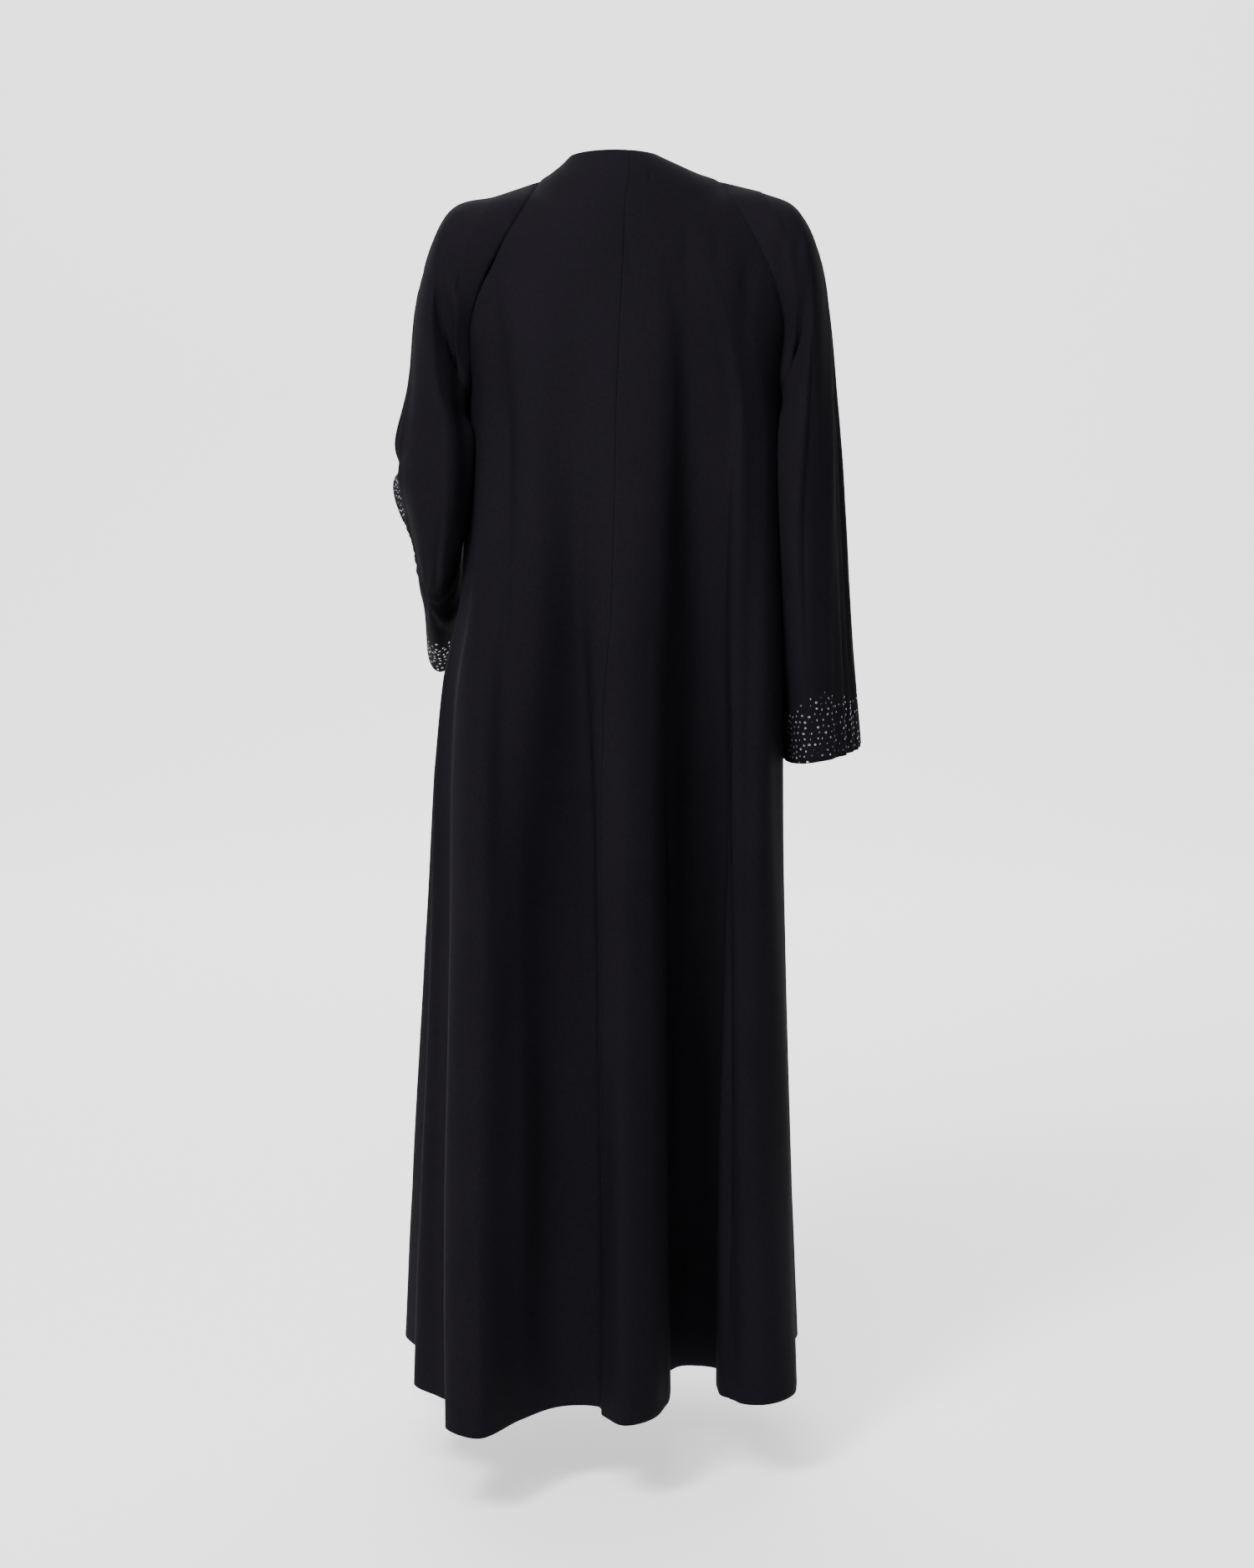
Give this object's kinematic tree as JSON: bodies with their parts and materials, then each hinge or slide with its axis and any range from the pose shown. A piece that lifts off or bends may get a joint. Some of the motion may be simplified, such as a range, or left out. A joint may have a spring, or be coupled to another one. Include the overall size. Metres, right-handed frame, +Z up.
{
  "type": "abaya",
  "caption": "Full-length flared black abaya with long raglan sleeves, wide cuffs set with small crystals and a round neck, in its worn shape with one arm bent.",
  "frame": {"origin": "midway between the wearer's shoulders, at the height where they carry the garment", "axes": "+Z up, -Y out of the garment's front, +X towards the wearer's left"},
  "size_m": [0.5492, 0.5208, 1.3959],
  "materials": {
    "crepe_back_left": "matt black crepe",
    "crepe_back_right": "matt black crepe",
    "crepe_front_left": "matt black crepe",
    "crepe_front_right": "matt black crepe",
    "crepe_sleeve_left": "matt black crepe",
    "crepe_sleeve_right": "matt black crepe"
  },
  "bodies": {
    "root": {"back_left": "crepe_back_left", "back_right": "crepe_back_right", "front_left": "crepe_front_left", "front_right": "crepe_front_right", "sleeve_left": "crepe_sleeve_left", "sleeve_right": "crepe_sleeve_right"}
  },
  "joints": []
}
